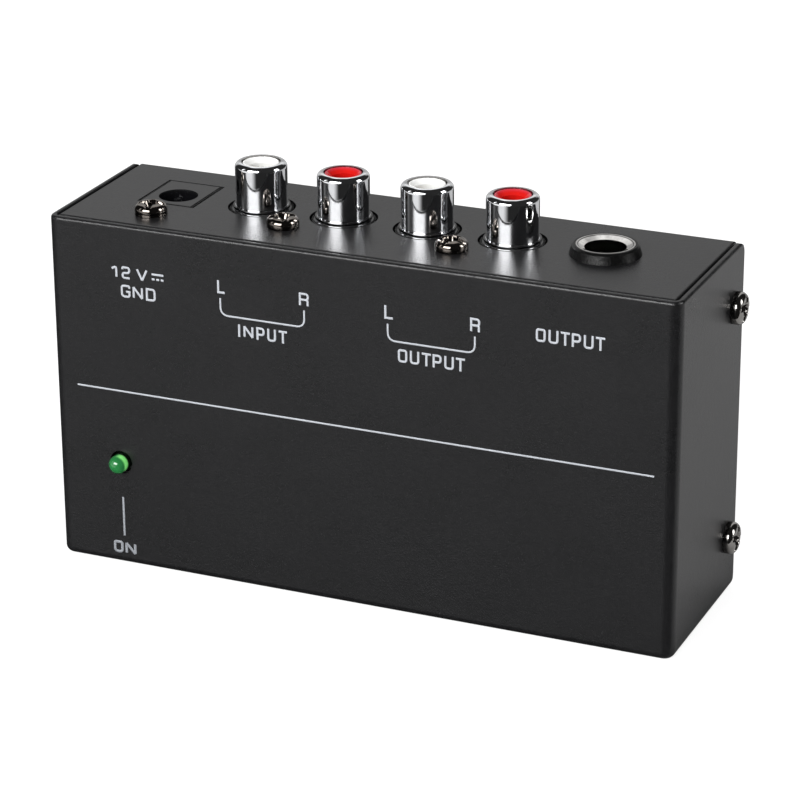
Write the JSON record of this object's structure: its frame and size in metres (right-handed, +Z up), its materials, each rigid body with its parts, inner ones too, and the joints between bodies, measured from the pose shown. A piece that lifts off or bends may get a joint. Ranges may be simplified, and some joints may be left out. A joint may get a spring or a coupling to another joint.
{
  "type": "phono preamplifier",
  "caption": "Slim folded-steel phono preamp standing on its narrow side, with phono jacks, a phone jack, a power inlet, a ground screw and a power lamp.",
  "frame": {"origin": "centre of the underside of the case, on the surface it stands on", "axes": "+X to the right along the legend face, +Y from the legend face to the back plate, +Z up through the jack panel"},
  "size_m": [0.1084, 0.0342, 0.0657],
  "materials": {
    "powder_coat": "satin black powder coat, fine grain",
    "dark_nickel": "dark nickel plate",
    "foot_rubber": "matt black",
    "board_laminate": "green solder mask",
    "zinc_plate": "zinc plate",
    "solder": "bright solder and tinned wire",
    "black_plastic": "moulded, satin",
    "chrome": "bright plate",
    "white_plastic": "moulded white",
    "red_plastic": "moulded red",
    "contact_brass": "plated spring brass",
    "lamp_green": "tinted clear epoxy",
    "chip_epoxy": "moulded epoxy",
    "can_aluminium": "plain",
    "sleeve_film": "dark heat-shrunk sleeve",
    "film_capacitor_red": "dipped and moulded red",
    "resistor_blue": "pale blue lacquer"
  },
  "bodies": {
    "case": {"front_cover": "powder_coat", "chassis": "powder_coat", "side_screws": "dark_nickel", "board_screws": "dark_nickel", "jack_block_screws": "dark_nickel", "rubber_feet": "foot_rubber", "circuit_board": "board_laminate", "board_standoffs": "zinc_plate", "ground_nut": "zinc_plate", "solder_joints": "solder", "lamp_leads": "solder", "chip_pins": "solder", "component_leads": "solder", "input_jack_block": "black_plastic", "output_jack_block": "black_plastic", "phone_jack_body": "black_plastic", "phone_jack_nut": "black_plastic", "power_inlet_body": "black_plastic", "lamp_spacer": "black_plastic", "input_left_barrel": "chrome", "input_right_barrel": "chrome", "output_left_barrel": "chrome", "output_right_barrel": "chrome", "phone_jack_ferrule": "chrome", "power_inlet_pin": "chrome", "input_left_insert": "white_plastic", "output_left_insert": "white_plastic", "input_right_insert": "red_plastic", "output_right_insert": "red_plastic", "input_left_contact": "contact_brass", "input_right_contact": "contact_brass", "output_left_contact": "contact_brass", "output_right_contact": "contact_brass", "phone_jack_terminals": "contact_brass", "power_inlet_terminal": "contact_brass", "power_lamp": "lamp_green", "input_amplifier_chip": "chip_epoxy", "output_amplifier_chip": "chip_epoxy", "supply_diode": "chip_epoxy", "voltage_regulator": "chip_epoxy", "capacitor_cans": "can_aluminium", "capacitor_sleeves": "sleeve_film", "film_capacitors": "film_capacitor_red", "resistors": "resistor_blue"},
    "terminal_washer": {"ground_washer": "zinc_plate"},
    "terminal_screw": {"ground_screw": "dark_nickel"},
    "tip_contact": {"phone_tip_spring": "contact_brass"},
    "ring_contact": {"phone_ring_spring": "contact_brass"},
    "sleeve_contact": {"power_inlet_spring": "contact_brass"}
  },
  "joints": [
    {"name": "terminal_lift", "type": "slide", "parent": "case", "child": "terminal_washer", "axis": [0, 0, 1], "range_m": [0, 0.001]},
    {"name": "terminal_turn", "type": "hinge", "parent": "terminal_washer", "child": "terminal_screw", "pos_m": [-0.03777, -0.0079, 0.05862], "axis": [0, 0, 1], "range_deg": [0, 720]},
    {"name": "tip_contact_flex", "type": "hinge", "parent": "case", "child": "tip_contact", "pos_m": [0.0297, 0.00145, 0.04765], "axis": [0, 1, 0], "range_deg": [0, 6], "stiffness_Nm_per_rad": 0.8, "springref_deg": -1.72},
    {"name": "ring_contact_flex", "type": "hinge", "parent": "case", "child": "ring_contact", "pos_m": [0.0398, 0.00145, 0.03005], "axis": [0, 1, 0], "range_deg": [0, 5], "stiffness_Nm_per_rad": 0.8, "springref_deg": -1.72},
    {"name": "sleeve_contact_flex", "type": "hinge", "parent": "case", "child": "sleeve_contact", "pos_m": [-0.03777, -0.00215, 0.04635], "axis": [1, 0, 0], "range_deg": [0, 6], "stiffness_Nm_per_rad": 0.4, "springref_deg": -2.86}
  ],
  "couplings": [
    {"joint": "terminal_turn", "follows": "terminal_lift", "rad_per_m": 12566}
  ]
}
